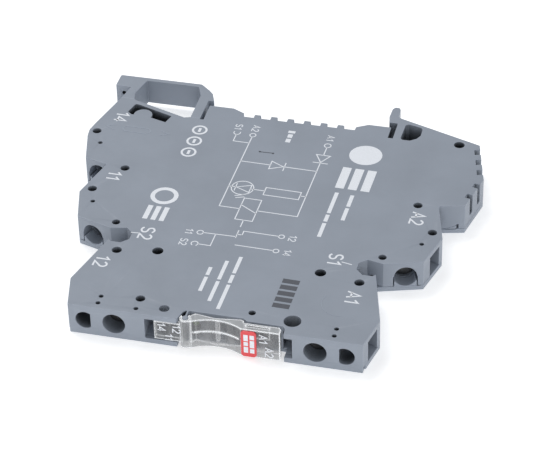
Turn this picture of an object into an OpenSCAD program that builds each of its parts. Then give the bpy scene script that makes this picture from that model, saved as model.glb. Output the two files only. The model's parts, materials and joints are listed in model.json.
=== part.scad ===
// Slim interface relay module for a 35 mm mounting rail, lying on its flat side.
// +X runs to the coil terminals, +Y to the rail foot, +Z through the thickness.

/* [Housing] */
// Thickness of the whole module, its pitch on the rail
body_t = 6; // [5.8:0.1:6.4]
// Thickness of the lower side plate
plate_t = 1; // [0.8:0.1:1.2]
// Side wall left over the inner chambers
roof_t = 0.6; // [0.5:0.1:0.8]
// Front face of the first terminal step
front_y = -34.4; // [-35:0.1:-34]
// Depth of the blind holes in the side
hole_depth = 3.7; // [3:0.1:3.8]

/* [Rail foot] */
// Face that rests on the mounting rail
seat_y = 27.4; // [27:0.1:27.8]
// Height of the slots that take the rail's lips
lip_slot = 1.5; // [1.2:0.1:1.8]
// Back edge of the foot
foot_y = 33.95; // [33.6:0.05:34.2]
// Number of ribs between the two seats
rib_count = 6; // [3:1:7]

/* [Terminals] */
// Bore that the screwdriver goes into
bore_d = 3.9; // [3.6:0.1:4.0]
// Depth from the face to the screw's head
head_depth = 3; // [2.6:0.1:3.2]
// Diameter of the screw's head
head_d = 3.6; // [3.2:0.1:3.6]
// Thread diameter of the screw
thread_d = 2.5; // [2.2:0.1:2.5]
// Travel of the clamp cage from open to closed
cage_travel = 0.9; // [0.5:0.1:0.9]
// Thickness of the current bars
bar_t = 0.5; // [0.4:0.1:0.6]

/* [Relay] */
// Length of the relay
relay_l = 28; // [27:0.5:28]
// Height of the relay above its base
relay_h = 15; // [14.6:0.1:15.2]

/* [Hidden] */
$fn = 48;
EPS = 0.01;
GREY = [0.57, 0.60, 0.65];
PALE = [0.62, 0.65, 0.70];
STEEL = [0.72, 0.72, 0.74];
BRASS = [0.80, 0.66, 0.36];
COPPER = [0.78, 0.42, 0.22];
CREAM = [0.88, 0.86, 0.78];
mid_z = body_t / 2;
// Chambers inside run between these heights
low_z = plate_t;
high_z = body_t - 1;
gap = 0.03;

// Each terminal: name, side, centre of its screw hole, tilt of its face, and the two ends
// of its wire entry. Left-hand ones are mirrored.
TERMS = [
    ["a1", 1, 17.15, front_y, 0, [25.56, -32.6], [26.31, -28.9]],
    ["a2", 1, 27.76, -11.6, 17.3, [31.2, -8.7], [32.24, -4.95]],
    ["12", -1, 17.15, front_y, 0, [25.56, -32.6], [26.31, -28.9]],
    ["11", -1, 27.76, -11.6, 17.3, [31.2, -8.7], [32.24, -4.95]],
    ["14", -1, 32.1, 5.85, 15, [35.05, 8.35], [35.98, 11.9]]
];
// Places along a screw's axis, measured inward from the face
head_t = 1.05;
cage_s = head_depth + head_t + cage_travel + 0.1;
cage_roof = 0.75;
bar_s = cage_s + cage_roof + 0.35;
wire_gap = 1.6;
cage_end = bar_s + bar_t + wire_gap + 0.7;
cage_w = 4.4;
cage_z = high_z - low_z - 0.3;
bar_z0 = 1.8;
bar_z1 = 4.2;

// Side outline up to the step above the first terminal, the same on both sides
function step_side(x_corner) = [
    [x_corner, front_y], [26.62, -27.6], [22.75, -13.15], [30.7, -10.7], [32.6, -3.6], [30.3, 5.4]
];
RIGHT_TOP = [[34.8, 6.5], [36.65, 14.8], [34.2, 25.1]];
LEFT_TOP = [[-34.6, 6.5], [-36.4, 13.4], [-36.6, 15.2], [-36.1, 17.6], [-34.15, 25.4]];
// Where the flexing legs of the latch leave the housing
leg_l_y = 26.6;
leg_r_y = 23;
leg_l = [-33.89, -31.3];
leg_r = [-19.5, -17.6];
loop_floor = [[-30.9, 26.25], [-20.6, 22.65]];
slit_x = -16.95;
prong_slot = [17.45, 18.35];
prong_slot_y = 24.05;
nose_y = seat_y + lip_slot;
rib_base_y = 25.2;
rib_w = 1.25;
rib_pitch = 3.14;
rib_h = 1;
rib_x0 = -7.4;

// Recess for the clear front cover, and the windows beside it
recess_x0 = -6.3;
recess_x1 = 11.9;
recess_y = -31.85;
window_l = [-11.8, -5.2];
window_r = [11.4, 13.3];
window_y = -30.2;
knuckle = [-4.9, -33.6];
post_r = 0.5;

// Sockets for the side jumpers; a blade shows low in each of those that carry current
socket_c = [22.1, -14.2];
socket_r = 2.1;
blade_z1 = 2.7;

// Chamber for the circuit board and the relay
room_x = 12.9;
room_y0 = -29.2;
relay_y0 = 4.6;
relay_y1 = relay_y0 + relay_h;
relay_x = relay_l / 2;
relay_z0 = 0.65;
relay_z1 = body_t - relay_z0;
board_z0 = plate_t + 0.4;
board_t = 0.8;
board_z1 = board_z0 + board_t;

// Round holes in the upper side: [x, y, radius]; PAIRS stand on both sides
PAIRS = [
    [26.7, 4.9, 0.8], [30.6, -2.3, 0.8], [23.6, -10.9, 0.7], [21.2, -18.5, 0.85], [14.25, -17.3, 0.95],
    [20.1, -31.2, 0.4], [20.1, -33.0, 0.4], [29.4, -5.9, 0.4]
];
SINGLES = [
    [-35.1, 15.1, 0.8], [-33.4, 11.6, 0.4], [30.55, 24.5, 0.95], [-13.5, -30.4, 0.8],
    [-13.5, -33.1, 0.4], [-8.9, -32.1, 0.85], [5.6, -30.1, 0.6], [12.6, -30.8, 1.45]
];
// Pegs of the lower plate that hold it in the shell
PEGS = [[26.7, 4.9], [-26.7, 4.9], [21.2, -18.5], [-21.2, -18.5], [30.55, 24.5], [-28.3, 21.6]];
peg_r = 0.6;
peg_top = 1.9;

// ---- helpers ----

module slab(z0, z1) {
    translate([0, 0, z0]) linear_extrude(z1 - z0) children();
}

module hole(x, y, r, z0, z1) {
    translate([x, y, z0]) cylinder(r = r, h = z1 - z0);
}

module box(lo, hi) {
    translate(lo) cube(hi - lo);
}

module on_side(side) {
    if (side > 0) children(); else mirror([1, 0, 0]) children();
}

// A terminal's own axes: x towards the wire entry, y inward along the screw
module at_terminal(t) {
    on_side(t[1]) translate([t[2], t[3], 0]) rotate([0, 0, t[4]]) children();
}

// A point given in a terminal's own axes, on the unmirrored side
function terminal_point(t, w, s) = [
    t[2] + w * cos(t[4]) - s * sin(t[4]), t[3] + w * sin(t[4]) + s * cos(t[4])
];

// A strip of constant width along a path, with round corners
module strip(path, width) {
    for (i = [0:len(path) - 2]) {
        d = path[i + 1] - path[i];
        translate(path[i]) rotate([0, 0, atan2(d[1], d[0])])
            translate([0, -width / 2]) square([norm(d), width]);
    }
    for (i = [1:1:len(path) - 2]) translate(path[i]) circle(r = width / 2);
}

module stadium(w, h) {
    square([w - h, h], center = true);
    for (s = [-1, 1]) translate([s * (w - h) / 2, 0]) circle(r = h / 2);
}

// ---- outlines ----

function mirrored(pts) = [for (i = [len(pts) - 1:-1:0]) [-pts[i][0], pts[i][1]]];

// Back edge between the two rail seats, from right to left
RAIL_EDGE = [
    [prong_slot[0], seat_y], [13.2, seat_y], [11.1, 26.2], [11, rib_base_y], [-9.8, rib_base_y],
    [-10.1, 26.3], [-12.3, seat_y], [slit_x, seat_y], [slit_x, leg_r_y - 0.3], [leg_r[1], leg_r_y - 0.3]
];
PRONG = [
    [18.8, 30.6], [18.15, 31], [18, 33.5], [17.7, foot_y], [16.9, foot_y], [16.5, 33.3], [16.4, 30.8],
    [16.75, nose_y], [prong_slot[1], nose_y]
];

module ribs() {
    for (i = [0:rib_count - 1])
        translate([rib_x0 + i * rib_pitch - rib_w / 2, rib_base_y - 1]) square([rib_w, rib_h + 1]);
}

// The housing seen from the side; the plate leaves out the prong and the front lip
module side_outline(prong) {
    polygon(concat(
        step_side(25.2), RIGHT_TOP,
        prong ? PRONG : [[prong_slot[1], 30.7]],
        [[prong_slot[1], prong_slot_y], [prong_slot[0], prong_slot_y]],
        RAIL_EDGE,
        [[leg_r[1], leg_r_y - gap], [leg_r[0], leg_r_y - gap], loop_floor[1], loop_floor[0]],
        [[leg_l[1], leg_l_y - gap], [leg_l[0], leg_l_y - gap]],
        [for (i = [len(LEFT_TOP) - 1:-1:0]) LEFT_TOP[i]],
        mirrored(step_side(25))
    ));
    ribs();
}

module front_recess() {
    polygon([
        [recess_x0, front_y - 1], [recess_x0, front_y], [-5.9, -33.4], [-5.6, -32.3], [-5.2, recess_y],
        [4.6, recess_y], [5.3, -32.45], [11.4, -32.45], [recess_x1, -33.1], [recess_x1, front_y - 1]
    ]);
}

module lower_recess() {
    translate([recess_x0, front_y - 1]) square([recess_x1 - recess_x0, recess_y - front_y + 1]);
}

// Room for the clamp cage, and the funnel from the wire entry to it
module terminal_room(t) {
    at_terminal(t) {
        translate([0, -1, mid_z]) rotate([-90, 0, 0]) cylinder(d = bore_d, h = cage_s + 1);
        box([-cage_w / 2 - 0.2, head_depth + 1, low_z - EPS], [cage_w / 2 + 0.3, cage_end + 0.25, high_z]);
    }
    on_side(t[1]) slab(low_z - EPS, high_z) polygon([
        t[5] + [1, -0.25], t[6] + [1, -0.25],
        terminal_point(t, cage_w / 2, cage_end), terminal_point(t, cage_w / 2, cage_s + 0.6)
    ]);
}

// Paths of the current bars, from inside the cage to the circuit board
function bar_start(t) = terminal_point(t, cage_w / 2 - 0.2, bar_s + bar_t / 2);
function bar_path(i) =
    i == 0 || i == 2 ? [bar_start(TERMS[i]), terminal_point(TERMS[i], -cage_w / 2 - 3.2, bar_s + bar_t / 2)]
    : i == 1 || i == 3 ? [bar_start(TERMS[i]), terminal_point(TERMS[i], -15.6, bar_s + bar_t / 2)]
    : [bar_start(TERMS[i]), terminal_point(TERMS[i], -14.6, bar_s + bar_t / 2), [16.2, 0.9], [11.2, 0.9]];
function has_socket(i) = i == 1 || i == 3;
// Blade from a current bar to the side jumper's socket
function socket_link(i) =
    let(w = (socket_c[0] - terminal_point(TERMS[i], 0, bar_s + bar_t / 2)[0]) / cos(TERMS[i][4]))
    [terminal_point(TERMS[i], w, bar_s + bar_t / 2), socket_c + [0, socket_r - 0.4]];

module socket_shape() {
    flat = socket_r * tan(22.5);
    polygon([
        [-socket_r, flat], [-flat, socket_r], [socket_r, 1.45], [socket_r, -flat],
        [flat, -socket_r], [-flat, -socket_r], [-socket_r, -flat]
    ]);
}

// ---- housing ----

// A cooling slot through the side wall and the upper edge
vent_depth = 1.1;
vent_z = 2.3;
low_vents = [9.3, 12.65];
high_vents = [17.05, 20.05, 23.05];

function on_edge(a, b, y) = a[0] + (y - a[1]) * (b[0] - a[0]) / (b[1] - a[1]);

module vent(a, b, y, w) {
    translate([on_edge(a, b, y), y, vent_z]) rotate([0, 0, atan2(b[1] - a[1], b[0] - a[0]) - 90])
        translate([-vent_depth, -w / 2, 0]) cube([vent_depth + 1, w, body_t]);
}

// On the face of the third step the plate rises in a curved tongue beside a notch
step_face = [[30.3, 5.4], [34.8, 6.5]];
tongue_u = [0.3, 3.2];
tongue_rise = 0.75;
notch_w = 0.35;
tongue_depth = 0.8;

module on_step_face(depth) {
    run = step_face[1] - step_face[0];
    translate(step_face[0]) rotate([0, 0, atan2(run[1], run[0])])
        rotate([90, 0, 0]) translate([0, 0, -depth]) linear_extrude(depth + EPS) children();
}

module tongue_outline(extra) {
    steps = 6;
    polygon(concat(
        [[tongue_u[1] + extra, plate_t - 0.1], [tongue_u[0], plate_t - 0.1]],
        [for (k = [0:steps]) let(a = k / steps)
            [tongue_u[0] + a * (tongue_u[1] - tongue_u[0] + extra), plate_t - gap + a * a * tongue_rise + extra]]
    ));
}

module test_hole() {
    intersection() {
        translate([22.15, front_y - 1, mid_z]) rotate([-90, 0, 0]) cylinder(r = 1.65, h = 5.4);
        box([21.2, front_y - 2, 0], [25, front_y + 6, body_t]);
    }
}

module housing_shell() {
    color(GREY) difference() {
        union() {
            slab(plate_t, body_t) side_outline(true);
            box([-24.96, front_y, 0], [recess_x0, front_y + 1.1, plate_t + EPS]);
            box([recess_x1, front_y, 0], [25.18, front_y + 1.1, plate_t + EPS]);
        }
        slab(-1, body_t + 1) front_recess();
        box([window_l[0], front_y - 1, plate_t - EPS], [window_l[1], window_y, high_z]);
        box([window_r[0], front_y - 1, plate_t - EPS], [window_r[1], window_y, high_z]);
        for (t = TERMS) terminal_room(t);
        for (i = INSERTS) insert_block(TERMS[i], insert_gap, mid_z);
        on_step_face(tongue_depth + gap) tongue_outline(gap);
        on_step_face(tongue_depth) translate([tongue_u[1], plate_t - 0.1]) square([notch_w, tongue_rise + 0.3]);
        for (s = [1, -1]) on_side(s) test_hole();
        for (i = [0:len(TERMS) - 1])
            on_side(TERMS[i][1]) {
                slab(low_z - EPS, bar_z1 + 0.1) strip(bar_path(i), bar_t + 0.3);
                if (has_socket(i)) slab(low_z - EPS, blade_z1 + 0.1) strip(socket_link(i), bar_t + 0.3);
            }
        for (s = [1, -1]) on_side(s) {
            translate([socket_c[0], socket_c[1], low_z - EPS]) slab(0, body_t) socket_shape();
            for (h = PAIRS) hole(h[0], h[1], h[2], body_t - hole_depth, body_t + 1);
        }
        for (h = SINGLES) hole(h[0], h[1], h[2], body_t - hole_depth, body_t + 1);
        for (p = PEGS) hole(p[0], p[1], peg_r + 0.05, low_z - EPS, peg_top + 0.2);
        // board and relay
        box([-room_x, room_y0, low_z - EPS], [room_x, relay_y0 - 0.3, body_t - roof_t]);
        box([-relay_x - 0.2, relay_y0 - 0.4, low_z - EPS], [relay_x + 0.2, relay_y1 + 0.3, body_t - roof_t]);
        translate([-3.9, recess_y - 0.5, mid_z]) rotate([-90, 0, 0]) cylinder(r = 1.1, h = 4);
        // empty corner behind the cooling slots, its slots, and the foot's pockets
        slab(low_z - EPS, high_z)
            polygon([[24, 8.6], [34.35, 8.6], [35.75, 14.8], [33.95, 22], [28, 22.2], [24, 17]]);
        for (y = low_vents) vent(RIGHT_TOP[0], RIGHT_TOP[1], y, 1.2);
        for (y = high_vents) vent(RIGHT_TOP[1], RIGHT_TOP[2], y, 1.5);
        slab(1.6, body_t + 1) polygon([
            [19.75, 24.4], [20.1, 24], [21.5, 24], [22.6, 24.8], [23.15, 25.9], [23.15, 27.9], [22.8, 28.4],
            [20.4, 29.05], [19.9, 28.7]
        ]);
        slab(1.6, body_t + 1) difference() {
            polygon([
                [-31.3, 22.3], [-30.6, 25], [-29.9, 24.95], [-23, 22.5], [-23.6, 20.4], [-26.3, 21.2],
                [-28.3, 21.8], [-30.4, 21.6]
            ]);
            translate([-28.3, 21.9]) circle(r = 1.75);
        }
    }
    // post that the clear cover clips onto, with the web that carries it
    color(GREY) {
        hole(knuckle[0], knuckle[1], post_r, plate_t + 0.2, body_t);
        box([knuckle[0] - 0.15, knuckle[1], plate_t + 0.2], [knuckle[0] + 0.15, recess_y + 0.2, body_t]);
    }
}

// On the two outer steps the lower half of a screw bore stands on the plate
INSERTS = [1, 3, 4];
insert_l = 2.4;
insert_gap = 0.15;
insert_top = 2.05;

module insert_block(t, extra, top) {
    at_terminal(t) translate([-bore_d / 2 - extra, -extra, plate_t - EPS - gap])
        cube([bore_d + 2 * extra, insert_l + 2 * extra, top - plate_t + EPS + gap]);
}

module half_bore(t) {
    difference() {
        insert_block(t, 0, insert_top);
        at_terminal(t) translate([0, -1, mid_z]) rotate([-90, 0, 0]) cylinder(d = bore_d, h = 5);
    }
}

module housing_cover() {
    color(PALE) difference() {
        union() {
            slab(0, plate_t - gap) difference() {
                side_outline(false);
                translate([-30, front_y - 1]) square([60, 1 + 1.1 + gap]);
                lower_recess();
            }
            for (p = PEGS) hole(p[0], p[1], peg_r, plate_t - 0.1, peg_top);
            for (x = [-11.5, 11.5], y = [-26, 1]) hole(x, y, 0.7, plate_t - 0.1, board_z0);
            for (i = INSERTS) half_bore(TERMS[i]);
            on_step_face(tongue_depth) tongue_outline(0);
        }
        // hollow for the relay
        box([-relay_x - 0.2, relay_y0 - 0.4, relay_z0 - gap], [relay_x + 0.2, relay_y1 + 0.3, plate_t + 1]);
    }
}

// ---- rail latch ----

module rail_latch() {
    color(GREY) difference() {
        slab(plate_t, body_t) polygon([
            [leg_l[0], leg_l_y], [-33.1, 30.3], [-36.1, 30.45], [-36.1, 33.7], [-35.85, foot_y], [-20.2, foot_y],
            [-18.3, 32.3], [-17.4, 31.3], [-16.9, 30], [-16.5, nose_y], [leg_r[1], nose_y],
            [leg_r[1], leg_r_y], [leg_r[0], leg_r_y], [leg_r[0], 30.4], [-20.6, 33], [-30.7, 33],
            [-31.7, 28.7], [leg_l[1], leg_l_y]
        ]);
        translate([-34.5, 30, 4.4]) rotate([-90, 0, 0]) cylinder(r = 0.4, h = 1.6);
    }
}

// ---- clear cover with its tag ----

cover_z0 = 0.15;
cover_z1 = body_t - 0.15;
block_x = [4.6, 11.3];
block_y = [front_y, -32.75];
scoop_r = 8.43;
scoop_c = [0.35, -33.2 - scoop_r];
ridge_z = [3.3, 3.5];
ridge_h = 0.12;
rib_x = [0.1, 0.5];

module front_cover() {
    color([0.85, 0.9, 0.92, 0.5]) difference() {
        union() {
            slab(cover_z0, cover_z1) difference() {
                union() {
                    polygon([
                        [-4.9, -34.3], [4.8, front_y], [4.8, -32.3], [4.2, -32.05], [0, -32.6],
                        [-3.6, -32.1], [-4.1, -32.6]
                    ]);
                    translate(knuckle) circle(r = 1);
                    polygon([
                        [block_x[0], block_y[0]], [block_x[1], block_y[0]], [block_x[1], -33.3],
                        [10.9, block_y[1]], [block_x[0], block_y[1]]
                    ]);
                }
                translate(scoop_c) circle(r = scoop_r, $fn = 96);
            }
            slab(ridge_z[0], ridge_z[1]) intersection() {
                translate([-4.2, -34.2]) square([8.4, 1.5]);
                difference() {
                    translate(scoop_c) circle(r = scoop_r + 0.1, $fn = 96);
                    translate(scoop_c) circle(r = scoop_r - ridge_h, $fn = 96);
                }
            }
            box([rib_x[0], -32.8, low_z], [rib_x[1], -32, high_z]);
            box([-10.2, -34.3, low_z + 0.15], [knuckle[0] - 0.5, -33.4, high_z - 0.15]);
        }
        hole(knuckle[0], knuckle[1], post_r + 0.05, -1, body_t + 1);
        // mouth that passes the post's web as the cover swings
        slab(-1, body_t + 1)
            polygon([knuckle + [0.25, 0], knuckle + [0.6, 2.2], knuckle + [-1.9, 1.9], knuckle + [-0.3, 0]]);
        // slot for a marking strip
        box([5.3, -33.55, 3.4], [9.4, -33.25, body_t]);
    }
}

module label_tag() {
    color([0.85, 0.18, 0.24]) difference() {
        box([4.75, front_y - 0.3, 0.35], [7.35, front_y, body_t - 0.35]);
        for (z = [0.35, body_t - 0.35], x = [4.75, 7.35])
            translate([x, front_y - 1, z]) rotate([-90, 45, 0]) cube([0.5, 0.5, 2], center = true);
    }
}

// ---- circuit board and what is soldered to it ----

module circuit_board() {
    color([0.16, 0.42, 0.25]) difference() {
        box([-12.6, -28.9, board_z0], [12.6, 3.2, board_z1]);
        for (x = [-11.5, 11.5], y = [-26, 1]) hole(x, y, 0.4, 0, body_t);
        box([-2.4, -29.5, 0], [2.4, -27.4, body_t]);
    }
}

module led() {
    color([0.75, 0.85, 0.55]) {
        translate([-3.9, -30.6, mid_z]) rotate([-90, 0, 0]) cylinder(r = 0.75, h = 1.8);
        translate([-3.9, -30.6, mid_z]) sphere(r = 0.75);
        box([-4.9, -28.8, board_z1], [-2.9, -27.6, 4]);
    }
}

module chip(x, y, l, w, h, turn, tone) {
    translate([x, y, board_z1]) rotate([0, 0, turn]) {
        color(tone) translate([-l / 2 + 0.35, -w / 2, 0]) cube([l - 0.7, w, h]);
        color(STEEL) for (s = [-1, 1]) translate([s * (l / 2 - 0.175) - 0.175, -w / 2, 0]) cube([0.35, w, h]);
    }
}

module resistor() { chip(4.5, -19, 3.2, 1.6, 0.6, 0, [0.1, 0.1, 0.12]); }
module freewheel_diode() { chip(0, -6, 3.6, 1.6, 1.5, 0, [0.12, 0.12, 0.13]); }
module series_diode() { chip(8, -12, 3.6, 1.6, 1.5, 90, [0.12, 0.12, 0.13]); }

// ---- relay ----

pin_z = [board_z1, board_z1 + 0.5];
pin_y0 = 1.4;
blade_y0 = relay_y0 + 1.6;
contact_y = 14.5;
moving_x = -8;
card_y = [16.2, 17.4];
pole_x = -0.68;
coil_x = [0, 12.4];
core_y = 12.3;
button_r = 0.8;
fixed_nc_x = moving_x - 0.48;
fixed_no_x = moving_x + 1.05;

module pin(x, y1) {
    box([x - 0.4, pin_y0, pin_z[0]], [x + 0.4, y1, pin_z[1]]);
}
PIN_X = [-11.2, moving_x, -4.6, 8.5, 11.5];

module relay_base() {
    color([0.2, 0.22, 0.26]) difference() {
        box([-relay_x + 0.4, relay_y0, relay_z0 + 0.35], [relay_x - 0.4, blade_y0, relay_z1 - 0.35]);
        for (x = PIN_X) box([x - 0.45, relay_y0 - 1, pin_z[0] - 0.05], [x + 0.45, blade_y0 + 1, pin_z[1] + 0.05]);
    }
}

module relay_case() {
    color([0.35, 0.4, 0.48, 0.6]) difference() {
        box([-relay_x, relay_y0, relay_z0], [relay_x, relay_y1, relay_z1]);
        box([-relay_x + 0.35, relay_y0 - 1, relay_z0 + 0.3], [relay_x - 0.35, relay_y1 - 0.35, relay_z1 - 0.3]);
    }
}

module along_coil(x0, x1) {
    translate([x0, core_y, mid_z]) rotate([90, 0, 90]) linear_extrude(x1 - x0) children();
}

module coil_bobbin() {
    color(CREAM) difference() {
        union() {
            along_coil(coil_x[0], coil_x[1]) stadium(4.2, 1.9);
            for (x = [coil_x[0], coil_x[1] - 0.5]) along_coil(x, x + 0.5) square([7.4, 3.9], center = true);
        }
        along_coil(coil_x[0] - 1, coil_x[1] + 1) square([3.1, 1.1], center = true);
    }
}

module coil_winding() {
    color(COPPER) along_coil(coil_x[0] + 0.53, coil_x[1] - 0.53) difference() {
        stadium(6.8, 3.8);
        stadium(4.26, 1.96);
    }
}

module coil_core() {
    color(STEEL) box([pole_x, core_y - 1.5, mid_z - 0.5], [12.9, core_y + 1.5, mid_z + 0.5]);
}

module yoke() {
    color(STEEL) {
        box([12.9, 6.9, 1.5], [13.55, core_y + 2.2, 4.5]);
        box([-1.1, 6.9, 1.5], [12.9, 7.7, 4.5]);
    }
}

module armature() {
    color(STEEL) {
        box([-1.95, 6.7, 1.5], [-1.25, card_y[0] - 0.15, 4.5]);
        box([-1.95, card_y[0] - 0.15, 2.4], [-1.25, card_y[1], 3.6]);
    }
}

module actuator_card() {
    color(CREAM) difference() {
        box([-9, card_y[0], 2], [-0.7, card_y[1], 4]);
        box([-2.08, card_y[0] - 1, 2.3], [-1.12, card_y[1] + 1, 3.7]);
        box([moving_x - 0.2, card_y[0] - 1, 2.3], [moving_x + 0.2, card_y[1] + 1, 3.7]);
    }
}

module rivet(x0, x1) {
    translate([x0, contact_y, mid_z]) rotate([0, 90, 0]) cylinder(r = button_r, h = x1 - x0);
}

module moving_contact() {
    color(COPPER) {
        box([moving_x - 0.1, blade_y0 + 0.1, 1.8], [moving_x + 0.1, card_y[0] - 0.15, 4.2]);
        box([moving_x - 0.1, card_y[0] - 0.15, 2.4], [moving_x + 0.1, card_y[1] - 0.1, 3.6]);
    }
    color(STEEL) rivet(moving_x - 0.45, moving_x + 0.45);
}

module nc_contact() {
    color(COPPER) {
        box([fixed_nc_x - 0.8, blade_y0, 1.8], [fixed_nc_x - 0.5, card_y[0] - 0.3, 4.2]);
        box([-11.6, blade_y0, pin_z[0]], [fixed_nc_x - 0.5, blade_y0 + 0.5, pin_z[1]]);
        pin(-11.2, blade_y0);
    }
    color(STEEL) rivet(fixed_nc_x - 0.5, fixed_nc_x);
}

module no_contact() {
    color(COPPER) {
        box([fixed_no_x + 0.5, blade_y0, 1.8], [fixed_no_x + 0.8, card_y[0] - 0.3, 4.2]);
        box([fixed_no_x + 0.5, blade_y0, pin_z[0]], [-4.2, blade_y0 + 0.5, pin_z[1]]);
        pin(-4.6, blade_y0);
    }
    color(STEEL) rivet(fixed_no_x, fixed_no_x + 0.5);
}

module relay_pins() {
    color(STEEL) {
        pin(moving_x, blade_y0);
        pin(8.5, blade_y0);
        pin(11.5, blade_y0);
    }
}

// ---- terminals ----

module clamp_screw(t) {
    color(STEEL) at_terminal(t) translate([0, 0, mid_z]) rotate([-90, 0, 0]) difference() {
        union() {
            translate([0, 0, head_depth]) cylinder(d = head_d, h = head_t);
            translate([0, 0, head_depth + head_t]) cylinder(d = thread_d, h = bar_s - gap - head_depth - head_t);
        }
        translate([-head_d, -0.25, head_depth - 1]) cube([2 * head_d, 0.5, 1.55]);
    }
}

module clamp_cage(t) {
    z0 = mid_z - cage_z / 2;
    z1 = mid_z + cage_z / 2;
    color(BRASS) at_terminal(t) difference() {
        box([-cage_w / 2, cage_s, z0], [cage_w / 2, cage_end, z1]);
        box([-cage_w, cage_s + cage_roof, z0 + 0.45], [cage_w, cage_end - 0.7, z1 - 0.45]);
        translate([0, cage_s - 1, mid_z]) rotate([-90, 0, 0]) cylinder(d = thread_d + 0.1, h = cage_roof + 2);
    }
}

module busbar(i) {
    color(COPPER) on_side(TERMS[i][1]) difference() {
        union() {
            slab(bar_z0, bar_z1) strip(bar_path(i), bar_t);
            if (has_socket(i)) slab(bar_z0, blade_z1) strip(socket_link(i), bar_t);
        }
        // foot of the bar stands on the board
        box([0, -40, 0], [13, 3.4, board_z1]);
    }
}

housing_shell();
housing_cover();
rail_latch();
front_cover();
label_tag();
circuit_board();
led();
resistor();
freewheel_diode();
series_diode();
relay_base();
relay_case();
coil_bobbin();
coil_winding();
coil_core();
yoke();
armature();
actuator_card();
moving_contact();
nc_contact();
no_contact();
relay_pins();
for (t = TERMS) clamp_screw(t);
for (t = TERMS) clamp_cage(t);
for (i = [0:len(TERMS) - 1]) busbar(i);
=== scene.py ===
"""Looks of a slim interface relay module that lies on its flat side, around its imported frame.

Metres; +X runs to the coil terminals, +Y to the rail foot, +Z through the thickness.
"""
import json
import math

import bmesh
import bpy
from mathutils import Matrix, Vector


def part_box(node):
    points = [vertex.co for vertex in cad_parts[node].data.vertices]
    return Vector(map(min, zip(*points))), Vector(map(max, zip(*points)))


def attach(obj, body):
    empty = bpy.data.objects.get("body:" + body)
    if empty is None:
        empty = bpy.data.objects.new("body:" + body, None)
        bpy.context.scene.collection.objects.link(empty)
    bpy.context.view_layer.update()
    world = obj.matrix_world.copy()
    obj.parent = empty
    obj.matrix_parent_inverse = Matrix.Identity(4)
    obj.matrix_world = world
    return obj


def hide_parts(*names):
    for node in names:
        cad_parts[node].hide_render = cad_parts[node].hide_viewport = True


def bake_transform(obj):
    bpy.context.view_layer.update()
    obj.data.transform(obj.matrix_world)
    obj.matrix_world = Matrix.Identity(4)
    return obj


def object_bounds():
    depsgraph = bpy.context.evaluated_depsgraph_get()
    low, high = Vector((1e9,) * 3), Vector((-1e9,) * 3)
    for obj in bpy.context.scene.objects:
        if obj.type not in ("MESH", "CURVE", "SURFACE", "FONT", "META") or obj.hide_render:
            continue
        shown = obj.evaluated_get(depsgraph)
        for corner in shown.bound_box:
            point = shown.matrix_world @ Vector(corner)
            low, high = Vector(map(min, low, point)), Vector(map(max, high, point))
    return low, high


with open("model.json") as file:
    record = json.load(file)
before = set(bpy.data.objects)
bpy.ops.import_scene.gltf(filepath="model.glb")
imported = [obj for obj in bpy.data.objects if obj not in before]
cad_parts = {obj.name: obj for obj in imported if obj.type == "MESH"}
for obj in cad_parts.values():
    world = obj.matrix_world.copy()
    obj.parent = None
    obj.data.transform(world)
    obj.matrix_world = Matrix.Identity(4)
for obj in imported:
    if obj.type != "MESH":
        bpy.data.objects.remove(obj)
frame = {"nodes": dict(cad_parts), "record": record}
CAD_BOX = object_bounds()
NODES = frame["nodes"]
MM = 0.001

TOP_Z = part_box("housing_shell")[1].z
COVER_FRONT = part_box("front_cover")[0].y
TAG_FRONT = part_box("label_tag")[0].y


# ---- camera, light and floor ----

AIM = Vector((1.77, -2.31, 3.0)) * MM
AZIMUTH = math.radians(14.61)
ELEVATION = math.radians(37.0)
ROLL = math.radians(-1.44)
DISTANCE = 406.7 * MM
LENS = 154.7
SENSOR = 36.0
CLIP_NEAR, CLIP_FAR = 0.01, 20.0

# Soft boxes: name, place, size and power in watts
SOFT_BOXES = (
    ("key", (-0.45, 0.35, 0.9), (0.7, 0.5), 4.4),
    ("fill", (0.5, -0.8, 0.45), (0.8, 0.5), 1.6),
)
SKY = (0.95, 0.97, 1.0)
SKY_STRENGTH = 0.5

FLOOR_SIZE = 6.0
FLOOR_GAP = 0.02 * MM
FLOOR_WHITE = (0.95, 0.95, 0.95)
FLOOR_ROUGHNESS = 0.9
FLOOR_GLOW = 0.45


def make_camera():
    """A long lens at the photograph's angle."""
    back = Vector((
        math.sin(AZIMUTH) * math.cos(ELEVATION),
        -math.cos(AZIMUTH) * math.cos(ELEVATION),
        math.sin(ELEVATION),
    ))
    data = bpy.data.cameras.new("camera")
    data.lens = LENS
    data.sensor_width = SENSOR
    data.clip_start = CLIP_NEAR
    data.clip_end = CLIP_FAR
    camera = bpy.data.objects.new("camera", data)
    turn = (-back).to_track_quat("-Z", "Y").to_matrix().to_4x4()
    camera.matrix_world = Matrix.Translation(AIM + back * DISTANCE) @ turn @ Matrix.Rotation(ROLL, 4, "Z")
    bpy.context.scene.collection.objects.link(camera)
    bpy.context.scene.camera = camera


def area_light(name, place, size, power):
    """A soft box that looks at the object."""
    data = bpy.data.lights.new(name, "AREA")
    data.shape = "RECTANGLE"
    data.size, data.size_y = size
    data.energy = power
    light = bpy.data.objects.new(name, data)
    place = Vector(place)
    light.matrix_world = Matrix.Translation(place) @ (-place).to_track_quat("-Z", "Y").to_matrix().to_4x4()
    bpy.context.scene.collection.objects.link(light)


def make_light():
    for name, place, size, power in SOFT_BOXES:
        area_light(name, place, size, power)
    world = bpy.data.worlds.new("studio")
    world.use_nodes = True
    background = world.node_tree.nodes["Background"]
    background.inputs["Color"].default_value = (*SKY, 1.0)
    background.inputs["Strength"].default_value = SKY_STRENGTH
    bpy.context.scene.world = world
    bpy.context.scene.view_settings.view_transform = "Standard"


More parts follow.
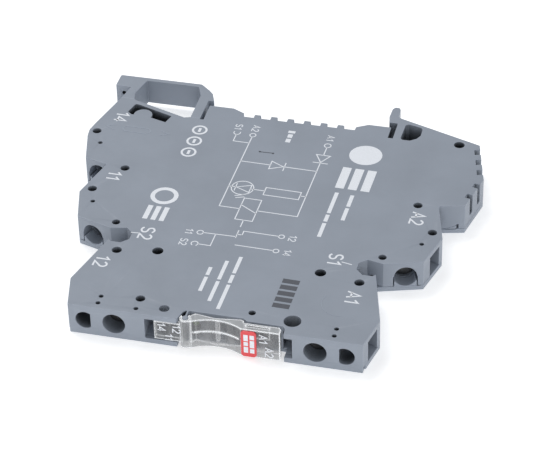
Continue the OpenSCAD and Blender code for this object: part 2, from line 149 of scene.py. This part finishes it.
def floor_material():
    """Pale and faintly glowing from above, and clear from below, so that it never hides the underside."""
    material = bpy.data.materials.new("floor")
    material.use_nodes = True
    tree = material.node_tree
    bsdf = tree.nodes["Principled BSDF"]
    bsdf.inputs["Base Color"].default_value = (*FLOOR_WHITE, 1.0)
    bsdf.inputs["Roughness"].default_value = FLOOR_ROUGHNESS
    bsdf.inputs["Emission Color"].default_value = (1.0, 1.0, 1.0, 1.0)
    bsdf.inputs["Emission Strength"].default_value = FLOOR_GLOW
    side = tree.nodes.new("ShaderNodeNewGeometry")
    above = tree.nodes.new("ShaderNodeMath")
    above.operation = "SUBTRACT"
    above.inputs[0].default_value = 1.0
    tree.links.new(side.outputs["Backfacing"], above.inputs[1])
    tree.links.new(above.outputs[0], bsdf.inputs["Alpha"])
    return material


def make_floor():
    """A floor just under the object."""
    half = FLOOR_SIZE / 2
    z = CAD_BOX[0].z - FLOOR_GAP
    corners = [(-half, -half, z), (half, -half, z), (half, half, z), (-half, half, z)]
    mesh = bpy.data.meshes.new("floor")
    mesh.from_pydata(corners, [], [(0, 1, 2, 3)])
    mesh.materials.append(floor_material())
    floor = bpy.data.objects.new("floor", mesh)
    bpy.context.scene.collection.objects.link(floor)


make_camera()
make_light()
make_floor()


# ---- materials ----

# The middle part of a noise's range, where most of its values lie
NOISE_MIDDLE = (0.3, 0.7)


def toned(colour, factor):
    """A lighter or darker tone of a colour."""
    return tuple(min(1.0, c * factor) for c in colour)


class Material:
    """A node material whose patterns lie in the object's own coordinates, in millimetres."""

    def __init__(self, name, colour, roughness, **inputs):
        self.material = bpy.data.materials.new(name)
        self.material.use_nodes = True
        self.tree = self.material.node_tree
        self.bsdf = self.tree.nodes["Principled BSDF"]
        self.bsdf.inputs["Base Color"].default_value = (*colour, 1.0)
        self.bsdf.inputs["Roughness"].default_value = roughness
        for key, value in inputs.items():
            self.bsdf.inputs[key.replace("_", " ")].default_value = value
        self.coordinates = self.add("ShaderNodeTexCoord")
        scaled = self.add("ShaderNodeVectorMath", operation="SCALE")
        scaled.inputs["Scale"].default_value = 1 / MM
        self.link(self.coordinates.outputs["Object"], scaled.inputs[0])
        self.place = scaled.outputs[0]

    def add(self, kind, **settings):
        node = self.tree.nodes.new(kind)
        for key, value in settings.items():
            setattr(node, key, value)
        return node

    def link(self, output, target):
        self.tree.links.new(output, target)

    def stretched(self, scale):
        """The place, scaled apart along each axis, for grain and drawn lines."""
        node = self.add("ShaderNodeVectorMath", operation="MULTIPLY")
        node.inputs[1].default_value = scale
        self.link(self.place, node.inputs[0])
        return node.outputs[0]

    def noise(self, per_mm, detail=3.0, place=None):
        node = self.add("ShaderNodeTexNoise")
        node.inputs["Scale"].default_value = per_mm
        node.inputs["Detail"].default_value = detail
        self.link(place or self.place, node.inputs["Vector"])
        return node.outputs["Fac"]

    def spread(self, value, low, high, to_low=0.0, to_high=1.0):
        """The value's stretch from low to high, carried over to another range."""
        node = self.add("ShaderNodeMapRange")
        for key, number in zip(("From Min", "From Max", "To Min", "To Max"), (low, high, to_low, to_high)):
            node.inputs[key].default_value = number
        self.link(value, node.inputs["Value"])
        return node.outputs["Result"]

    def scaled(self, value, top):
        """A value from 0 to 1, carried over to 0 to top."""
        return self.spread(value, 0.0, 1.0, 0.0, top)

    def blend(self, share, first, second):
        """A colour between two, each a colour or another node's output."""
        node = self.add("ShaderNodeMix", data_type="RGBA")
        self.link(share, node.inputs["Factor"])
        for socket, colour in ((node.inputs[6], first), (node.inputs[7], second)):
            if isinstance(colour, tuple):
                socket.default_value = (*colour, 1.0)
            else:
                self.link(colour, socket)
        return node.outputs[2]

    def edges(self, radius, gain):
        """Near 1 on edges, 0 on faces: how far the rounded normal leans away from the true one. The mask for
        painted edge highlights.
        """
        bevel = self.add("ShaderNodeBevel", samples=4)
        bevel.inputs["Radius"].default_value = radius
        geometry = self.add("ShaderNodeNewGeometry")
        dot = self.add("ShaderNodeVectorMath", operation="DOT_PRODUCT")
        self.link(bevel.outputs["Normal"], dot.inputs[0])
        self.link(geometry.outputs["Normal"], dot.inputs[1])
        return self.spread(dot.outputs["Value"], 1.0, 1.0 - 1.0 / gain)

    def painted_hollow_shade(self, reach, closed, opened, alone=True):
        """0 deep inside holes and slots, 1 on open faces: how much of its surroundings each point sees. The
        mask for painted shade in holes and slots.
        """
        node = self.add("ShaderNodeAmbientOcclusion", samples=6, only_local=alone)
        node.inputs["Distance"].default_value = reach
        return self.spread(node.outputs["AO"], closed, opened)

    def part_of(self, vector, axis):
        """One axis of a vector, named by its number or its letter."""
        node = self.add("ShaderNodeSeparateXYZ")
        self.link(vector, node.inputs[0])
        return node.outputs[axis]

    def height(self):
        return self.part_of(self.place, "Z")

    def upward(self):
        """1 on faces that look straight up, 0 on upright ones."""
        return self.spread(self.part_of(self.coordinates.outputs["Normal"], "Z"), 0.6, 0.9)

    def beyond(self, axis, middle, half, softness=0.01):
        """1 where the place along an axis is further than half from the middle, 0 nearer."""
        offset = self.add("ShaderNodeMath", operation="SUBTRACT")
        self.link(self.part_of(self.place, axis), offset.inputs[0])
        offset.inputs[1].default_value = middle
        away = self.add("ShaderNodeMath", operation="ABSOLUTE")
        self.link(offset.outputs[0], away.inputs[0])
        return self.spread(away.outputs[0], half - softness, half + softness)

    def most(self, first, second):
        node = self.add("ShaderNodeMath", operation="MAXIMUM")
        self.link(first, node.inputs[0])
        self.link(second, node.inputs[1])
        return node.outputs[0]

    def set_colour(self, value):
        self.link(value, self.bsdf.inputs["Base Color"])

    def set_roughness(self, value):
        self.link(value, self.bsdf.inputs["Roughness"])

    def bump(self, height, depth, strength=1.0):
        node = self.add("ShaderNodeBump")
        node.inputs["Distance"].default_value = depth
        node.inputs["Strength"].default_value = strength
        self.link(height, node.inputs["Height"])
        self.link(node.outputs["Normal"], self.bsdf.inputs["Normal"])


HOLLOW_REACH = 4.0 * MM


def moulded(name, colour, roughness=0.5, contrast=0.05):
    """Filled nylon: a fine spark-eroded grain and faint flow clouds, with painted highlights on its edges and
    painted shade deep in holes and slots.
    """
    m = Material(name, colour, roughness)
    clouds = m.spread(m.noise(0.12, 4.0), *NOISE_MIDDLE)
    flecks = m.spread(m.noise(6.0, 2.0), 0.62, 0.8, 0.0, 0.25)
    tone = m.blend(clouds, toned(colour, 1 - contrast), toned(colour, 1 + contrast))
    tone = m.blend(flecks, tone, toned(colour, 1.25))
    # painted highlight: edges paler
    tone = m.blend(m.scaled(m.edges(0.2 * MM, 5.0), 0.9), tone, toned(colour, 1.4))
    # painted shade: nearly black deep in holes and slots
    m.set_colour(m.blend(m.painted_hollow_shade(HOLLOW_REACH, 0.3, 0.55), toned(colour, 0.08), tone))
    m.set_roughness(m.spread(m.noise(0.6, 3.0), *NOISE_MIDDLE, roughness - 0.06, roughness + 0.08))
    m.bump(m.noise(9.0, 3.0), 0.008 * MM, 0.5)
    return m.material


def clear(name, colour, body, shade=1.0, glow=0.0, roughness=0.12):
    """Clear plastic: faces let light by, rims and upper faces gather it and look white."""
    m = Material(name, colour, roughness)
    streaks = m.noise(0.5, 1.0, m.stretched((1.0, 1.0, 0.25)))
    rims = m.edges(0.42 * MM, 9.0)
    tops = m.upward()
    # paler towards the floor, which lights it from below
    inner = m.blend(m.spread(m.height(), 1.2, 3.2), toned(colour, shade + 0.15), toned(colour, shade))
    tone = m.blend(m.spread(streaks, 0.35, 0.7, 0.0, 0.2), inner, colour)
    # painted highlight: faces that look up paler
    tone = m.blend(tops, tone, toned(colour, 0.8))
    # painted highlight: rims whitened
    m.set_colour(m.blend(rims, tone, colour))
    m.set_roughness(m.spread(m.noise(0.8, 2.0), *NOISE_MIDDLE, roughness * 0.5, roughness * 1.6))
    faces = m.spread(streaks, 0.3, 0.75, body * 0.6, body * 1.4)
    # rims and upper faces are less clear, so their painted highlight shows
    solid = m.most(m.scaled(rims, 0.95), m.scaled(tops, 0.5))
    m.link(m.most(faces, solid), m.bsdf.inputs["Alpha"])
    # painted highlight: the rims glow
    m.bsdf.inputs["Emission Color"].default_value = (*colour, 1.0)
    m.link(m.scaled(rims, glow), m.bsdf.inputs["Emission Strength"])
    m.bump(m.noise(0.5, 2.0), 0.02 * MM, 0.3)
    return m.material


def ink(name, colour):
    """Pad print with a slightly uneven coat."""
    m = Material(name, colour, 0.55)
    m.set_colour(m.blend(m.spread(m.noise(5.0, 3.0), 0.35, 0.75), colour, toned(colour, 0.86)))
    m.bump(m.noise(12.0, 2.0), 0.004 * MM, 0.4)
    return m.material


def metal(name, colour, roughness, grain=(1.0, 1.0, 1.0)):
    """Plated metal with drawn lines and duller patches, with painted highlights on its edges and painted
    shade deep in holes and bores.
    """
    m = Material(name, colour, roughness, Metallic=1.0)
    lines = m.noise(8.0, 3.0, m.stretched(grain))
    tone = m.blend(m.spread(m.noise(0.7, 3.0), 0.35, 0.7), colour, toned(colour, 0.82))
    # painted highlight: edges brighter
    tone = m.blend(m.scaled(m.edges(0.08 * MM, 3.0), 0.8), tone, toned(colour, 1.2))
    # painted shade: dark deep in holes and bores, shaded by nearby parts too
    m.set_colour(m.blend(m.painted_hollow_shade(HOLLOW_REACH, 0.2, 0.6, alone=False), toned(colour, 0.1), tone))
    m.set_roughness(m.spread(lines, *NOISE_MIDDLE, roughness - 0.08, roughness + 0.12))
    m.bump(lines, 0.006 * MM, 0.5)
    return m.material


def wound(name, colour, pitch):
    """Enamelled wire in turns along X: a ridge for each turn, with painted shade between them."""
    m = Material(name, colour, 0.28, Metallic=0.6, Coat_Weight=0.5)
    turns = m.add("ShaderNodeTexWave", bands_direction="X", wave_profile="SIN")
    # the wave node already turns 20 radians in each unit
    turns.inputs["Scale"].default_value = math.tau / 20 / pitch
    turns.inputs["Distortion"].default_value = 0.3
    m.link(m.place, turns.inputs["Vector"])
    ridge = turns.outputs["Fac"]
    # painted shade in the grooves between turns
    m.set_colour(m.blend(m.spread(ridge, 0.0, 0.6), toned(colour, 0.45), colour))
    m.bump(ridge, 0.03 * MM, 0.8)
    return m.material


def board(name, colour):
    """Solder resist over copper tracks that run square to each other, on woven glass."""
    m = Material(name, colour, 0.32)
    tracks = m.add("ShaderNodeTexBrick", offset=0.35)
    tracks.inputs["Scale"].default_value = 0.4
    tracks.inputs["Mortar Size"].default_value = 0.09
    m.link(m.place, tracks.inputs["Vector"])
    weave = m.noise(3.0, 2.0, m.stretched((4.0, 1.0, 1.0)))
    base = m.blend(m.spread(weave, *NOISE_MIDDLE), toned(colour, 0.85), colour)
    m.set_colour(m.blend(tracks.outputs["Fac"], base, toned(colour, 1.6)))
    m.set_roughness(m.spread(m.noise(0.5), *NOISE_MIDDLE, 0.25, 0.4))
    m.bump(tracks.outputs["Fac"], 0.035 * MM, 0.7)
    return m.material


EPOXY = (0.03, 0.03, 0.034)
TINNED = (0.72, 0.73, 0.74)


def epoxy(name, axis, middle, half):
    """Black moulded epoxy, tinned beyond the given distance from the middle of the part."""
    m = Material(name, EPOXY, 0.5)
    ends = m.beyond(axis, middle, half)
    tone = m.blend(m.spread(m.noise(8.0), 0.4, 0.7), EPOXY, toned(EPOXY, 1.7))
    m.set_colour(m.blend(ends, tone, TINNED))
    m.link(ends, m.bsdf.inputs["Metallic"])
    m.set_roughness(m.spread(ends, 0.0, 1.0, 0.55, 0.3))
    m.bump(m.noise(10.0), 0.01 * MM, 0.5)
    return m.material


GREY = (0.300, 0.336, 0.394)
HOUSING = moulded("housing_plastic", GREY)
PLATE = moulded("plate_plastic", toned(GREY, 1.06))
CLEAR = clear("clear_plastic", (0.90, 0.92, 0.94), body=0.48, shade=0.26, glow=0.6)
SMOKED = clear("smoked_plastic", (0.10, 0.12, 0.16), body=0.7)
INK = ink("white_ink", (0.92, 0.95, 1.0))
DARK_INK = ink("dark_ink", (0.092, 0.1, 0.12))
TAG = moulded("red_tag", (0.80, 0.075, 0.085), roughness=0.35)
BRASS = metal("nickel_brass", (0.62, 0.56, 0.42), 0.35, (1.0, 6.0, 1.0))
ZINC = metal("zinc_steel", (0.6, 0.6, 0.6), 0.35)
STEEL = metal("soft_iron", (0.52, 0.52, 0.53), 0.4, (6.0, 1.0, 1.0))
TIN = metal("tinned_pins", (0.7, 0.71, 0.72), 0.3)
COPPER = metal("contact_alloy", (0.72, 0.45, 0.28), 0.3, (6.0, 1.0, 1.0))
CREAM = moulded("bobbin_plastic", (0.72, 0.66, 0.52), roughness=0.45)
DARK = moulded("base_plastic", (0.05, 0.055, 0.065))
LENS_GREEN = moulded("led_lens", (0.36, 0.55, 0.16), roughness=0.15)
WIRE = wound("enamelled_wire", (0.62, 0.24, 0.09), pitch=0.276)
BOARD = board("solder_resist", (0.03, 0.14, 0.06))


# ---- frame meshes with rounded edges ----

WELD = 0.0002 * MM
MOST_CORNERS = 8
FLAT_ANGLE = math.radians(0.5)
SHARP_ANGLE = math.radians(30)
SMOOTH_ANGLE = math.radians(25)
SHELL_ROUND = 0.12 * MM


def cad_mesh(node):
    """A copy of a CAD node's mesh with its faces joined up again, the winding ones cut into triangles."""
    bm = bmesh.new()
    bm.from_mesh(NODES[node].data)
    bmesh.ops.remove_doubles(bm, verts=bm.verts, dist=WELD)
    bmesh.ops.dissolve_limit(bm, angle_limit=FLAT_ANGLE, verts=bm.verts, edges=bm.edges)
    bmesh.ops.triangulate(bm, faces=[f for f in bm.faces if len(f.verts) > MOST_CORNERS])
    return bm


def round_edges(bm, width, keep=lambda edge: False):
    """Rounds every sharp edge, apart from those that keep names."""
    sharp = [e for e in bm.edges if e.is_manifold and e.calc_face_angle(0) > SHARP_ANGLE and not keep(e)]
    bmesh.ops.bevel(
        bm, geom=sharp, offset=width, offset_type="OFFSET", segments=2, profile=0.5,
        affect="EDGES", clamp_overlap=False,
    )


def piece(name, bm, material):
    """A mesh piece with smooth shading apart from its sharp edges."""
    mesh = bpy.data.meshes.new(name)
    bm.normal_update()
    for face in bm.faces:
        face.smooth = True
    for edge in bm.edges:
        edge.smooth = not edge.is_manifold or edge.calc_face_angle(0) < SMOOTH_ANGLE
    bm.to_mesh(mesh)
    bm.free()
    mesh.materials.append(material)
    obj = bpy.data.objects.new(name, mesh)
    bpy.context.scene.collection.objects.link(obj)
    flatten = obj.modifiers.new("flat_faces", "WEIGHTED_NORMAL")
    flatten.mode = "FACE_AREA"
    flatten.keep_sharp = True
    return obj


BODY_OF = {n: body for body, nodes in frame["record"]["behaviour"]["bodies"].items() for n in nodes}


def rounded(node, width, material, keep=lambda edge: False):
    """Stands for a CAD node with the same shape and rounded edges."""
    bm = cad_mesh(node)
    round_edges(bm, width, keep)
    obj = piece(node + "_rounded", bm, material)
    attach(obj, BODY_OF[node])
    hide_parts(node)
    return obj


# ---- the latch, whose legs bend out of the housing ----

# Both legs end on the housing: left end and right end, each from x to x at y, in millimetres
LEG_ENDS = ((-33.89, -31.3, 26.6), (-19.5, -17.6, 23.0))
LEG_SLACK = 0.05
LEG_GAP = 0.03 * MM
LEG_REACH = 3.6 * MM
LEG_CUTS = 8


def on_leg_end(co):
    """Whether a point lies where a leg and the housing meet."""
    return any(
        x0 - LEG_SLACK < co.x / MM < x1 + LEG_SLACK and abs(co.y / MM - y) < LEG_SLACK
        for x0, x1, y in LEG_ENDS
    )


def leg_end_edge(edge):
    return all(on_leg_end(v.co) for v in edge.verts)


def make_latch():
    """The latch with its legs cut across at even steps out from the housing."""
    left, right = (Vector(((x0 + x1) / 2, y, 0)) * MM for x0, x1, y in LEG_ENDS)
    along = (right - left).normalized()
    outward = Vector((-along.y, along.x, 0))
    start = (left + right) / 2
    bm = cad_mesh("rail_latch")
    round_edges(bm, SHELL_ROUND, leg_end_edge)
    for vert in bm.verts:
        if on_leg_end(vert.co):
            vert.co.y -= LEG_GAP
    for i in range(1, LEG_CUTS):
        bmesh.ops.bisect_plane(
            bm, geom=bm.verts[:] + bm.edges[:] + bm.faces[:],
            plane_co=start + outward * LEG_REACH * i / LEG_CUTS, plane_no=outward,
        )
    latch = piece("rail_latch_sprung", bm, HOUSING)
    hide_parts("rail_latch")
    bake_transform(latch)


# ---- print ----

GLYPH_WIDTH = {"1": 0.42, "2": 0.62, "4": 0.64, "A": 0.68, "S": 0.62}
GLYPH_SPACE = 0.2
INK_T = 0.03
INK_SUNK = 0.01
# The cosine of the sharpest corner that still gets its full mitre
LEAST_MITRE = 0.5


def arc(centre, radius, start, end, steps=14):
    """Points of an arc; the radius is one number or two, the angles are in degrees."""
    rx, ry = radius if isinstance(radius, tuple) else (radius, radius)
    angles = [math.radians(start + (end - start) * i / steps) for i in range(steps + 1)]
    return [(centre[0] + rx * math.cos(a), centre[1] + ry * math.sin(a)) for a in angles]


def circle(centre, radius, corners=24):
    turn = 360 / corners
    return arc(centre, radius, 0, 360 - turn, corners - 1)


GLYPHS = {
    "1": [[(0.02, 0.72), (0.3, 1.0), (0.3, 0.0)]],
    "2": [arc((0.3, 0.7), (0.27, 0.3), 165, -40) + [(0.03, 0.0), (0.6, 0.0)]],
    "4": [[(0.46, 0.0), (0.46, 1.0), (0.0, 0.3), (0.64, 0.3)]],
    "A": [[(0.0, 0.0), (0.33, 1.0), (0.66, 0.0)], [(0.11, 0.32), (0.55, 0.32)]],
    "S": [arc((0.3, 0.75), (0.27, 0.25), 25, 270) + arc((0.3, 0.25), (0.29, 0.25), 90, -155)[1:]],
}


class Print:
    """Marks on a flat face, in millimetres: right runs the way the text reads, up to the letters' tops."""

    def __init__(self, origin, right, up):
        self.origin = Vector(origin) * MM
        self.right = Vector(right)
        self.up = Vector(up)
        self.out = self.right.cross(self.up)
        self.bm = bmesh.new()

    def vertex(self, point, height):
        place = self.right * point[0] + self.up * point[1] + self.out * height
        return self.bm.verts.new(self.origin + place * MM)

    def block(self, points):
        """A filled shape with its corners in turn."""
        top = [self.vertex(p, INK_T) for p in points]
        low = [self.vertex(p, -INK_SUNK) for p in points]
        self.bm.faces.new(top)
        self.bm.faces.new(low[::-1])
        for i in range(len(points)):
            j = (i + 1) % len(points)
            self.bm.faces.new((top[j], top[i], low[i], low[j]))

    def line(self, points, width, closed=False):
        """A ribbon along a path, mitred at its corners."""
        path = [Vector(p) for p in points]
        count = len(path)
        spans = count if closed else count - 1
        ways = [(path[(i + 1) % count] - path[i]).normalized() for i in range(spans)]
        sides = []
        for i, here in enumerate(path):
            near = [ways[j] for j in (i - 1, i) if closed or 0 <= j < spans]
            way = sum(near, Vector((0, 0))).normalized()
            side = Vector((-way.y, way.x)) * (width / 2 / max(LEAST_MITRE, way.dot(near[0])))
            sides.append((here + side, here - side))
        corners = ((0, INK_T), (1, INK_T), (1, -INK_SUNK), (0, -INK_SUNK))
        loops = [[self.vertex(ends[k], height) for ends in sides] for k, height in corners]
        for i in range(spans):
            j = (i + 1) % count
            for k in range(4):
                a, b = loops[k], loops[(k + 1) % 4]
                self.bm.faces.new((a[i], b[i], b[j], a[j]))
        if not closed:
            self.bm.faces.new([loop[0] for loop in loops][::-1])
            self.bm.faces.new([loop[-1] for loop in loops])

    def ring(self, centre, radius, width):
        self.line(circle(centre, radius), width, closed=True)

    def disc(self, centre, radius):
        self.block(circle(centre, radius))

    def bar(self, x0, x1, y0, y1):
        self.block([(x0, y0), (x1, y0), (x1, y1), (x0, y1)])

    def words(self, x, y, lengths, height, space=0.5):
        """A line of plain bars where small print would be."""
        for length in lengths:
            self.bar(x, x + length, y - height / 2, y + height / 2)
            x += length + space

    def text(self, string, centre, height, width):
        """Terminal numbers, centred."""
        run = sum(GLYPH_WIDTH[c] for c in string) + GLYPH_SPACE * (len(string) - 1)
        x = centre[0] - run * height / 2
        y = centre[1] - height / 2
        for c in string:
            for stroke in GLYPHS[c]:
                self.line([(x + px * height, y + py * height) for px, py in stroke], width)
            x += (GLYPH_WIDTH[c] + GLYPH_SPACE) * height

    def done(self, name, material, slot, body):
        bmesh.ops.recalc_face_normals(self.bm, faces=self.bm.faces)
        obj = piece(name, self.bm, material)
        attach(obj, body)


PRINT_TURN = math.radians(-1.3)
READING = (math.sin(PRINT_TURN), -math.cos(PRINT_TURN), 0)
TOPS = (math.cos(PRINT_TURN), math.sin(PRINT_TURN), 0)
LINE = 0.19
LABEL_H, LABEL_W = 2.3, 0.34
SMALL_H, SMALL_W = 1.25, 0.19


def on_side():
    """Print on the upper side; x runs from the rail to the front, y to the coil terminals."""
    return Print((0, 0, TOP_Z / MM), READING, TOPS)


def circuit(p):
    """The circuit: coil with freewheel and series diodes and a lamp, and a changeover contact."""
    # where the two supply lines run, and how wide the jumper forks open
    low, high = -7.18, 6.9
    fork = 0.6
    # supply lines with their terminals
    p.ring((-19.45, low), 0.55, LINE)
    p.line([(-18.9, low), (2.78, low), (2.78, -3.5)], LINE)
    p.ring((-19.36, high), 0.6, LINE)
    p.line([(-18.76, high), (-16.25, high)], LINE)
    p.line([(-16.25, 5.6), (-16.25, 8.2), (-14.0, high)], LINE, closed=True)
    p.line([(-13.8, 5.5), (-13.8, 8.3)], LINE)
    p.line([(-13.8, high), (2.7, high), (2.7, -0.35)], LINE)
    p.line(arc((-19.6, -10.2), fork, 120, -120), LINE)
    p.line([(-19.0, -10.2), (-16.9, -10.2), (-16.9, low)], LINE)
    # freewheel diode
    p.line([(-11.15, low), (-11.15, -1.65)], LINE)
    p.line([(-12.35, -1.65), (-9.95, -1.65), (-11.15, 0.75)], LINE, closed=True)
    p.line([(-12.4, 0.95), (-9.9, 0.95)], LINE)
    p.line([(-11.15, 0.95), (-11.15, high)], LINE)
    # lamp and its resistor
    lamp = (-3.3, -4.65)
    p.ring(lamp, 2.0, LINE)
    p.line([(-4.4, -3.2), (-2.2, -3.2), (-3.3, -5.8)], LINE, closed=True)
    p.line([(-4.4, -5.9), (-2.2, -5.9)], LINE)
    p.line([(-3.3, -5.9), (-3.3, low)], LINE)
    p.line([(-3.3, -3.2), (-3.3, -0.57)], LINE)
    p.line([(-1.35, -3.9), (-0.75, -5.4)], LINE)
    p.line([(-0.75, -3.6), (-0.2, -5.1)], LINE)
    p.line([(-4.35, -0.57), (-2.15, -0.57), (-2.15, 5.85), (-4.35, 5.85)], LINE, closed=True)
    p.line([(-3.3, 5.85), (-3.3, high)], LINE)
    # coil and its link to the contact
    p.line([(-0.45, -3.5), (5.85, -3.5), (5.85, -0.35), (-0.45, -0.35)], LINE, closed=True)
    p.line([(1.6, -3.5), (3.5, -0.35)], LINE)
    p.line([(5.85, -1.93), (7.9, -1.93)], LINE)
    # changeover contact
    p.line([(10.1, -1.0), (8.9, -1.0), (8.9, 5.2)], LINE)
    p.ring((8.9, 5.72), 0.5, LINE)
    p.line([(8.85, -1.9), (11.05, -1.9)], LINE)
    p.line([(10.0, -1.9), (10.0, -1.0)], LINE)
    p.line([(10.9, -7.7), (10.7, -1.9)], LINE)
    p.ring((10.95, -8.25), 0.55, LINE)
    p.line([(10.87, -5.5), (14.2, -5.5), (14.2, -7.7)], LINE)
    p.line(arc((14.2, -8.3), fork, 30, 330), LINE)
    p.line([(13.0, -1.5), (13.0, 5.3)], LINE)
    p.ring((13.0, 5.82), 0.5, LINE)
    for string, place in (
        ("A2", (-21.6, low)), ("S1", (-21.4, -10.4)), ("A1", (-21.7, 6.85)), ("11", (11.1, -10.2)),
        ("S2", (14.2, -10.3)), ("12", (9.0, 7.7)), ("14", (13.1, 7.8)),
    ):
        p.text(string, place, SMALL_H, SMALL_W)


def labels(p):
    """Terminal numbers beside the terminals and the jumper sockets."""
    for string, place in (
        ("14", (-19.5, -32.4)), ("11", (-1.5, -28.0)), ("12", (22.7, -22.3)), ("S2", (13.4, -17.2)),
        ("S1", (12.9, 16.2)), ("A1", (22.3, 21.5)), ("A2", (-1.6, 27.3)),
    ):
        p.text(string, place, LABEL_H, LABEL_W)
    p.line([(13.75, -19.9), (13.62, -18.4)], LINE)
    p.line([(13.31, 17.4), (13.67, 19.3)], LINE)


def generic_marks(p):
    """Plain bars, rings and discs in the places of the other print."""
    p.disc((-18.0, 14.3), 3.0)
    for y in (11.2, 13.5, 15.8):
        p.bar(-13.6, -7.2, y, y + 1.6)
    p.words(-5.6, 14.8, (3.4, 3.6), 0.7)
    p.words(-5.8, 11.95, (6.2, 2.0, 4.0), 0.7)
    p.words(16.0, 0.5, (4.6, 2.2, 6.6), 0.65)
    p.words(17.6, -1.5, (5.2, 5.4), 0.65)
    p.words(19.9, -3.75, (2.2, 3.9), 0.65)
    p.words(-22.4, -0.5, (0.7,), 1.3)
    p.words(-21.3, -0.5, (1.1, 1.1), 0.9, 0.4)
    for x in (-18.8, -15.2, -11.6):
        p.ring((x, -17.1), 1.25, 0.4)
        p.bar(x - 0.6, x + 0.6, -17.35, -16.85)
    p.ring((2.2, -17.4), 2.1, 0.8)
    for y in (-19.3, -17.8, -16.3):
        p.bar(5.4, 9.4, y, y + 0.9)


STAMP_BARS = 5
STAMP_START = 20.0
STAMP_PITCH = 1.65
STAMP_BAR = 1.1


def stamp(p):
    """A dark stamped strip, broken like a worn stamp, and a short stroke by the rail."""
    for i in range(STAMP_BARS):
        x = STAMP_START + i * STAMP_PITCH
        p.bar(x, x + STAMP_BAR, 9.0, 11.9)
    p.line([(-14.7, -4.6), (-14.8, -2.1)], 0.16)
    for y in (-4.6, -2.1):
        p.disc((-14.75, y), 0.2)


def relief(p):
    """Faint moulded marks: an ejector ring, and a chevron pair round a pill by the left hole."""
    p.line(arc((24.25, 20.0), 3.3, -115, 15), 0.12)
    p.line([(-17.0, -24.0), (-16.2, -22.2), (-15.4, -24.0)], 0.25)
    p.line([(-17.0, -32.6), (-16.2, -34.2), (-15.4, -32.6)], 0.25)
    p.line(arc((-16.2, -26.6), 0.8, 0, 180) + arc((-16.2, -30.2), 0.8, 180, 360), 0.25, closed=True)


def side_print():
    p = on_side()
    circuit(p)
    labels(p)
    generic_marks(p)
    p.done("side_print", INK, "white_ink", "housing")
    p = on_side()
    stamp(p)
    p.done("side_stamp", DARK_INK, "dark_ink", "housing")
    p = on_side()
    relief(p)
    p.done("moulded_marks", HOUSING, "housing", "housing")


TAB_FRONT = -34.3
COVER_H, COVER_W = 1.3, 0.2


def on_front(y):
    """Print on an upright front face at y, which reads towards the floor."""
    return Print((0, y, 0), (0, 0, -1), (1, 0, 0))


def cover_print():
    """Terminal numbers on the clear cover, and bars on its red tag."""
    p = on_front(TAB_FRONT)
    for string, place in (("14", (-3.75, -8.9)), ("12", (-3.7, -6.3)), ("11", (-1.75, -7.7))):
        p.text(string, place, COVER_H, COVER_W)
    p.done("tab_print", INK, "white_ink", "cover")
    p = on_front(COVER_FRONT / MM)
    for string, place in (("A1", (-4.4, 8.5)), ("A2", (-1.7, 9.5))):
        p.text(string, place, COVER_H, COVER_W)
    p.done("block_print", INK, "white_ink", "cover")
    p = on_front(TAG_FRONT / MM)
    for y, lengths in ((5.6, (1.3, 0.8, 1.2)), (6.65, (0.9, 1.5, 0.9))):
        p.words(-4.95, y, lengths, 0.75, 0.22)
    p.done("tag_print", INK, "white_ink", "cover")


# ---- the object ----

# Repeated metal parts: the start of their names, how far their edges are rounded, and their metal
METAL_PARTS = (
    ("clamp_cage", 0.1 * MM, BRASS),
    ("clamp_screw", 0.06 * MM, ZINC),
    ("busbar", 0.05 * MM, COPPER),
)

rounded("housing_shell", SHELL_ROUND, HOUSING, leg_end_edge)
make_latch()
rounded("housing_cover", 0.1 * MM, PLATE)
rounded("front_cover", 0.08 * MM, CLEAR)
rounded("label_tag", 0.05 * MM, TAG)
for name in NODES:
    for start, width, material in METAL_PARTS:
        if name.startswith(start):
            rounded(name, width, material)
side_print()
cover_print()


def dress(node, material):
    """A CAD node that shows as it is gets its material."""
    for slot in NODES[node].material_slots:
        slot.material = material


CHIP_END = 0.35


def chip_material(node, axis):
    """Epoxy for a chip with a tinned cap at each end of an axis."""
    lo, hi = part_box(node)
    middle = (lo + hi)[axis] / 2 / MM
    half = (hi - lo)[axis] / 2 / MM
    return epoxy(node + "_epoxy", axis, middle, half - CHIP_END)


for node, material in {
    "circuit_board": BOARD, "led": LENS_GREEN, "relay_base": DARK, "relay_case": SMOKED, "coil_bobbin": CREAM,
    "coil_winding": WIRE, "coil_core": STEEL, "yoke": STEEL, "armature": STEEL, "actuator_card": CREAM,
    "moving_contact": COPPER, "nc_contact": COPPER, "no_contact": COPPER, "relay_pins": TIN,
}.items():
    dress(node, material)
for node, axis in (("resistor", 0), ("freewheel_diode", 0), ("series_diode", 1)):
    dress(node, chip_material(node, axis))
